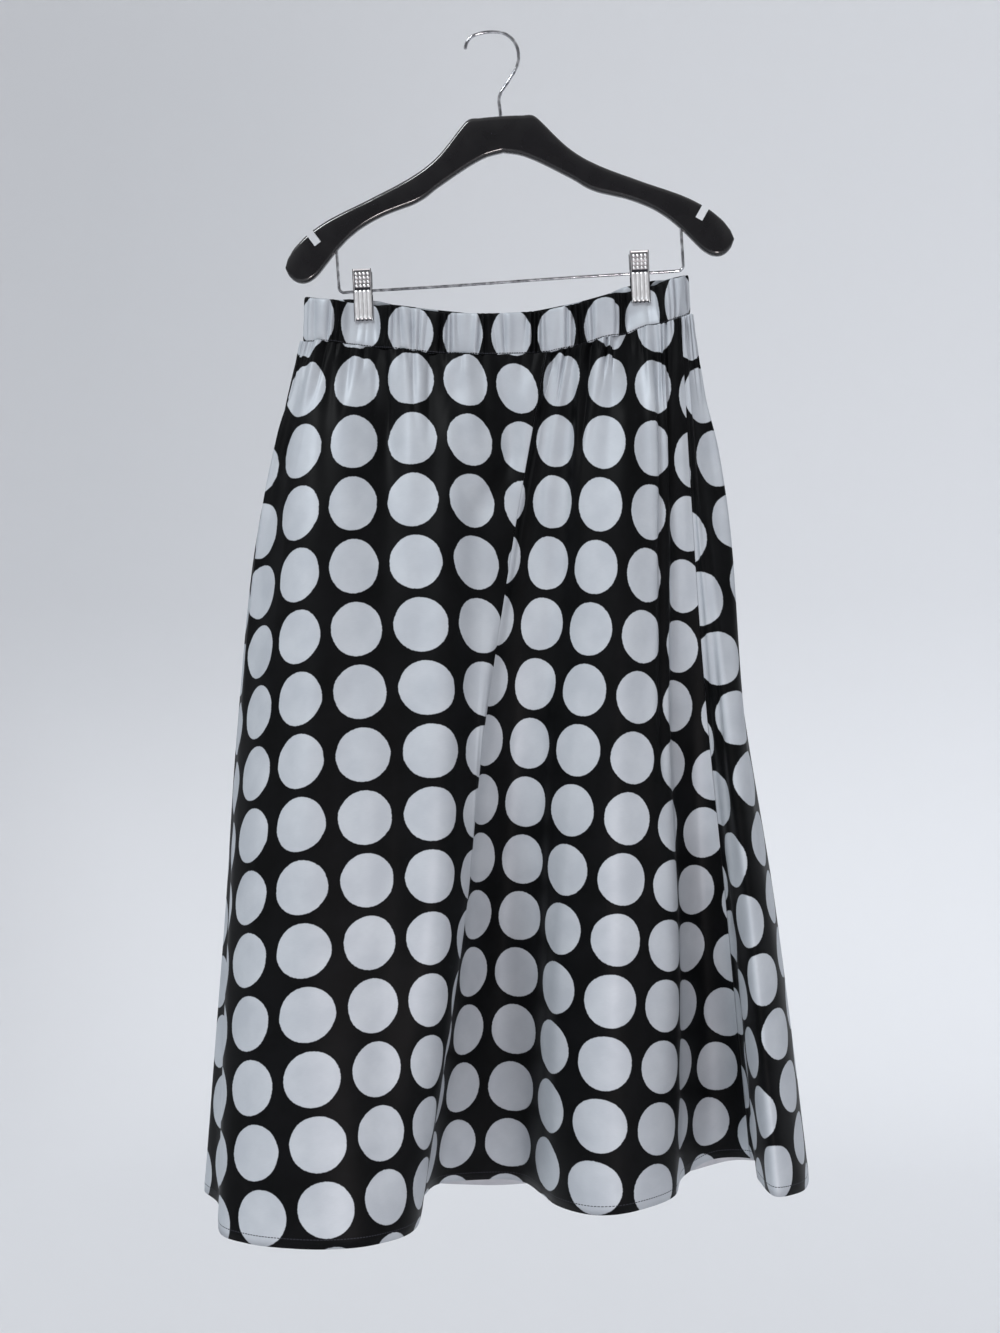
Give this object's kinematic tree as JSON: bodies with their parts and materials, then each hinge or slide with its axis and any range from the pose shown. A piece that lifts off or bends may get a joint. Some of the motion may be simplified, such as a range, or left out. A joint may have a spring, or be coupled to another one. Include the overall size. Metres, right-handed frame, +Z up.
{
  "type": "a-line midi skirt on a clip hanger",
  "caption": "Flared midi skirt with a gathered elastic waistband, hung by two metal clips from the wire bar of a shaped dark hanger with a wire hook.",
  "frame": {"origin": "inside of the hook's crown, on its middle line, where the hanger bears on a rail", "axes": "+Z up, +X to the right of someone facing the front, front looks along -Y"},
  "size_m": [0.5965, 0.279, 1.1636],
  "materials": {
    "cloth": "satin taffeta, black with large silver-white dots in rows",
    "band_cloth": "the same satin, gathered over elastic",
    "hanger_plastic": "gloss",
    "chrome": "polished",
    "clip_metal": "polished, pressed",
    "spring_steel": "drawn wire"
  },
  "bodies": {
    "root": {"front_left_panel": "cloth", "front_right_panel": "cloth", "back_panel": "cloth", "waistband": "band_cloth", "hanger_body": "hanger_plastic", "hanger_hook": "chrome", "clip_bar": "chrome", "clip_left_front": "clip_metal", "clip_left_back": "clip_metal", "clip_left_spring": "spring_steel", "clip_right_front": "clip_metal", "clip_right_back": "clip_metal", "clip_right_spring": "spring_steel"}
  },
  "joints": []
}
